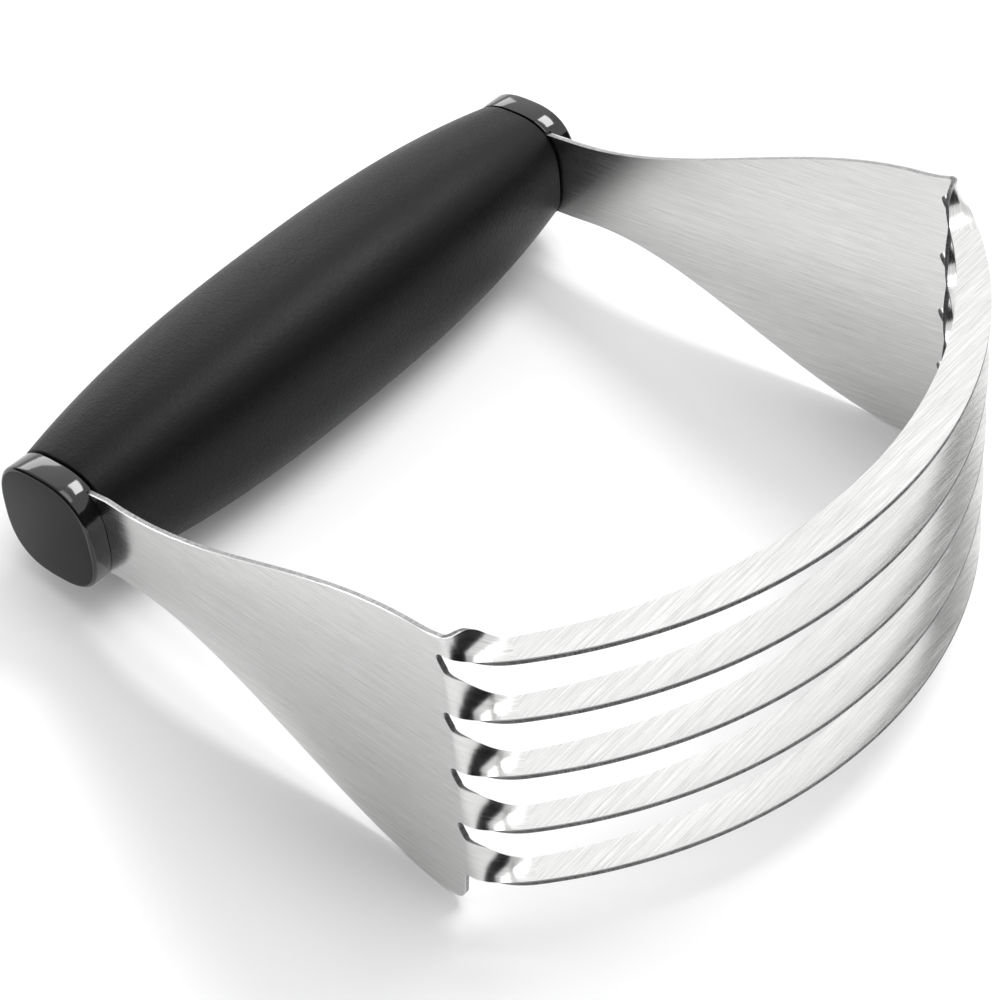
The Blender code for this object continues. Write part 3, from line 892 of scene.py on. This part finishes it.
def end_cap(name, node, side, plastics):
    """A hollow cap with an opening for the arm; plastics holds its face's and its rim's material."""
    mesh = bmesh.new()
    angles = even_angles()
    shoulder = CAP_FACE_Y - CAP_EDGE_ROUND
    rim_x = GRIP_END_HALF_X * SKIN_SHRINK
    rim_z = GRIP_END_HALF_Z * SKIN_SHRINK
    face_x = CAP_END_HALF_X * SKIN_SHRINK
    face_z = CAP_END_HALF_Z * SKIN_SHRINK
    corner = CAP_LIP / 4
    outer = [
        squircle_ring(mesh, rim_x - CAP_LIP, rim_z - CAP_LIP, side * CAP_RIM_Y, angles),
        squircle_ring(mesh, rim_x - corner, rim_z - corner, side * (CAP_RIM_Y + corner), angles),
        squircle_ring(mesh, rim_x, rim_z, side * (CAP_RIM_Y + CAP_LIP), angles),
        squircle_ring(mesh, face_x, face_z, side * shoulder, angles),
    ]
    for step in range(1, CAP_EDGE_STEPS + 1):
        turn = QUARTER_TURN * step / CAP_EDGE_STEPS
        inset = CAP_EDGE_ROUND * (1.0 - math.cos(turn))
        y = shoulder + CAP_EDGE_ROUND * math.sin(turn)
        outer.append(squircle_ring(mesh, face_x - inset, face_z - inset, side * y, angles))
    hollow_x = GRIP_END_HALF_X - CAP_WALL
    hollow_z = GRIP_END_HALF_Z - CAP_WALL
    hollow = [
        squircle_ring(mesh, hollow_x, hollow_z, side * CAP_FLOOR_Y, angles),
        squircle_ring(mesh, hollow_x, hollow_z, side * CAP_RIM_Y, angles),
    ]
    for first, second in zip(outer, outer[1:]):
        join_rings(mesh, first, second)
    join_rings(mesh, hollow[0], hollow[1])
    join_rings(mesh, hollow[1], outer[0])
    mesh.faces.new(outer[-1])
    mesh.faces.new(hollow[0])
    piece = finished(name, mesh, plastics, CAP_SHARP_DEGREES)
    near, far = sorted((side * (CAP_RIM_Y - CAP_OPENING_LEAD), side * (TAB_OUTER_Y + CAP_OPENING_GAP)))
    low = (0.0, near, -CAP_OPENING_HALF_HEIGHT)
    high = (2 * BEND_X, far, CAP_OPENING_HALF_HEIGHT)
    cut_out(piece, finished(name + "_tool", box(low, high), []))
    piece.data.set_sharp_from_angle(angle=math.radians(CAP_SHARP_DEGREES))
    for polygon in piece.data.polygons:
        polygon.material_index = 0 if abs(polygon.normal.y) > FLAT_FACE else 1
    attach(piece, "root")
    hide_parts(node)


def hidden_nodes(core, steel):
    """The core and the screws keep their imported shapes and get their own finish."""
    for node, made in (("handle_core", core), ("arm_screw_left", steel), ("arm_screw_right", steel)):
        node_object = bpy.data.objects[node]
        for slot in node_object.material_slots:
            slot.material = made


# ---------------------------------------------------------------- stage


def floor(paint):
    """A wide floor just under the tool."""
    mesh = bmesh.new()
    bmesh.ops.create_grid(mesh, x_segments=FLOOR_SQUARES, y_segments=FLOOR_SQUARES, size=FLOOR_SIZE / 2)
    data = bpy.data.meshes.new("floor")
    mesh.to_mesh(data)
    mesh.free()
    data.materials.append(paint)
    made = bpy.data.objects.new("floor", data)
    made.location.z = cad_box[0].z - FLOOR_DROP
    bpy.context.scene.collection.objects.link(made)


def dark_cards():
    """Black cards in front of the tool and beyond its blades.

    Only glossy reflections see them, and they darken the twists.
    """
    mesh = bmesh.new()
    left, right = CARDS_X
    front, back = CARDS_Y
    for start, end in (((left, front), (right, front)), ((right, front), (right, back))):
        corners = [(*start, 0.0), (*end, 0.0), (*end, CARDS_HEIGHT), (*start, CARDS_HEIGHT)]
        mesh.faces.new([mesh.verts.new(corner) for corner in corners])
    data = bpy.data.meshes.new("dark_cards")
    mesh.to_mesh(data)
    mesh.free()
    cloth = Nodes("black_cloth")
    weave = cloth.noise(cloth.node("ShaderNodeTexCoord").outputs["Object"], scale=800.0)
    cloth.put("Base Color", cloth.colours(weave, (0.002, 0.002, 0.002), (0.006, 0.006, 0.006)))
    cloth.set(Roughness=1.0, Specular_IOR_Level=0.0)
    data.materials.append(cloth.material)
    made = bpy.data.objects.new("dark_cards", data)
    made.visible_camera = False
    made.visible_diffuse = False
    made.visible_transmission = False
    made.visible_shadow = False
    bpy.context.scene.collection.objects.link(made)


def soft_light(name, direction, distance, size, power, target):
    """A rectangular lamp that faces the target from the given direction."""
    data = bpy.data.lights.new(name, "AREA")
    data.shape = "RECTANGLE"
    data.size = size[0]
    data.size_y = size[1]
    data.energy = power
    made = bpy.data.objects.new(name, data)
    made.location = target + direction.normalized() * distance
    made.rotation_mode = "QUATERNION"
    made.rotation_quaternion = direction.to_track_quat("Z", "Y")
    bpy.context.scene.collection.objects.link(made)


def surroundings():
    """A pale room that is dimmer in front, where the tool's twists look."""
    world = bpy.data.worlds.new("pale_room")
    world.use_nodes = True
    tree = world.node_tree
    background = tree.nodes["Background"]
    place = tree.nodes.new("ShaderNodeTexCoord")
    along = tree.nodes.new("ShaderNodeVectorMath")
    along.operation = "DOT_PRODUCT"
    along.inputs[1].default_value = DIM_SIDE.normalized()
    tree.links.new(place.outputs["Generated"], along.inputs[0])
    shade = tree.nodes.new("ShaderNodeMapRange")
    shade.interpolation_type = "SMOOTHSTEP"
    shade.inputs["From Min"].default_value = DIM_COSINES[0]
    shade.inputs["From Max"].default_value = DIM_COSINES[1]
    shade.inputs["To Min"].default_value = DIM_STRENGTHS[0]
    shade.inputs["To Max"].default_value = DIM_STRENGTHS[1]
    tree.links.new(along.outputs["Value"], shade.inputs["Value"])
    tree.links.new(shade.outputs["Result"], background.inputs["Strength"])
    background.inputs["Color"].default_value = (1.0, 1.0, 1.0, 1.0)
    bpy.context.scene.world = world


def camera():
    """The photograph's viewpoint."""
    data = bpy.data.cameras.new("camera")
    data.lens = CAMERA_LENS
    data.sensor_width = CAMERA_SENSOR
    data.clip_start = CAMERA_NEAR
    made = bpy.data.objects.new("camera", data)
    made.location = CAMERA_PLACE
    made.rotation_euler = CAMERA_TURN
    bpy.context.scene.collection.objects.link(made)
    bpy.context.scene.camera = made


def stage():
    """The camera, floor, world, cards and lamps round the tool."""
    bpy.context.scene.view_settings.view_transform = "Standard"
    middle = (cad_box[0] + cad_box[1]) / 2
    camera()
    floor(floor_paint())
    surroundings()
    dark_cards()
    for name, direction, distance, size, power in LIGHTS:
        soft_light(name, direction, distance, size, power, middle)


def main():
    blade_sheet([
        brushed_steel(),
        sheared_steel("sheared_steel_edge", burnished_grey=0.34, torn_grey=0.10),
        # The arms' edges: the same cut edge in lighter greys, painted light standing in for the light that
        # falls on their top edges
        sheared_steel("lighter_steel_edge_painted_light", burnished_grey=0.50, torn_grey=0.26),
    ])
    handle_grip(grained_plastic())
    gloss = [
        glossy_plastic("gloss_black_face", shine=0.12, lacquer=0.0),
        glossy_plastic("gloss_black_rim", shine=0.4, lacquer=0.25),
    ]
    end_cap("end_cap_left_skin", "end_cap_left", -1, gloss)
    end_cap("end_cap_right_skin", "end_cap_right", 1, gloss)
    hidden_nodes(core_plastic(), screw_steel())
    stage()


main()
